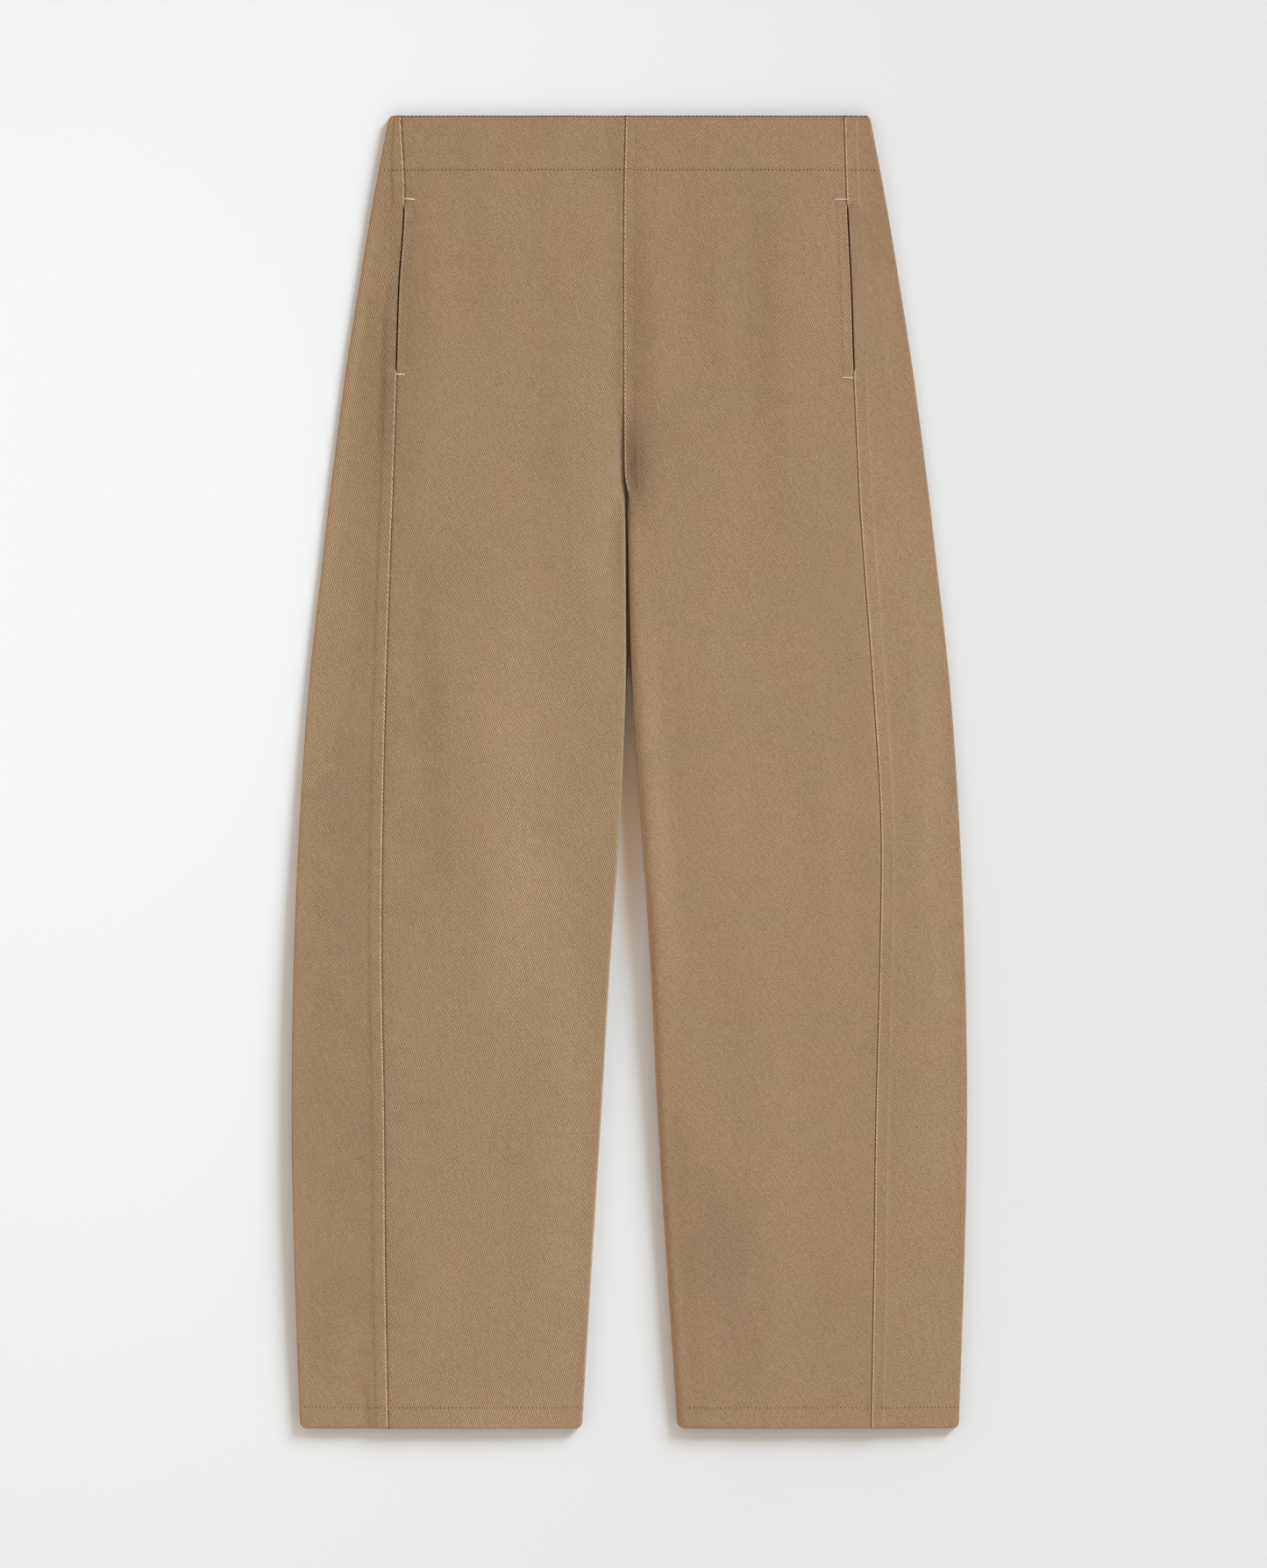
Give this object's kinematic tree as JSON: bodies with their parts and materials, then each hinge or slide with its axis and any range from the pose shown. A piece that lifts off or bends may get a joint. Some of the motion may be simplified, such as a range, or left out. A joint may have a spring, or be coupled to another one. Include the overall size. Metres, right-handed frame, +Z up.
{
  "type": "barrel leg trousers",
  "caption": "Ankle-length trousers laid flat, with barrel legs that bow outwards, side seams set forward on the front and pocket mouths in the seams.",
  "frame": {"origin": "on the surface that the trousers lie on, under the middle of their outline", "axes": "+Y towards the waist, -Y towards the hems, +X to the right as seen from above, +Z up out of the laid front"},
  "size_m": [0.5148, 1, 0.0064],
  "materials": {
    "twill": "matt tan cotton twill",
    "pocketing": "plain matt cotton"
  },
  "bodies": {
    "root": {"front_left": "twill", "front_right": "twill", "back_left": "twill", "back_right": "twill", "pocket_left": "pocketing", "pocket_right": "pocketing"}
  },
  "joints": []
}
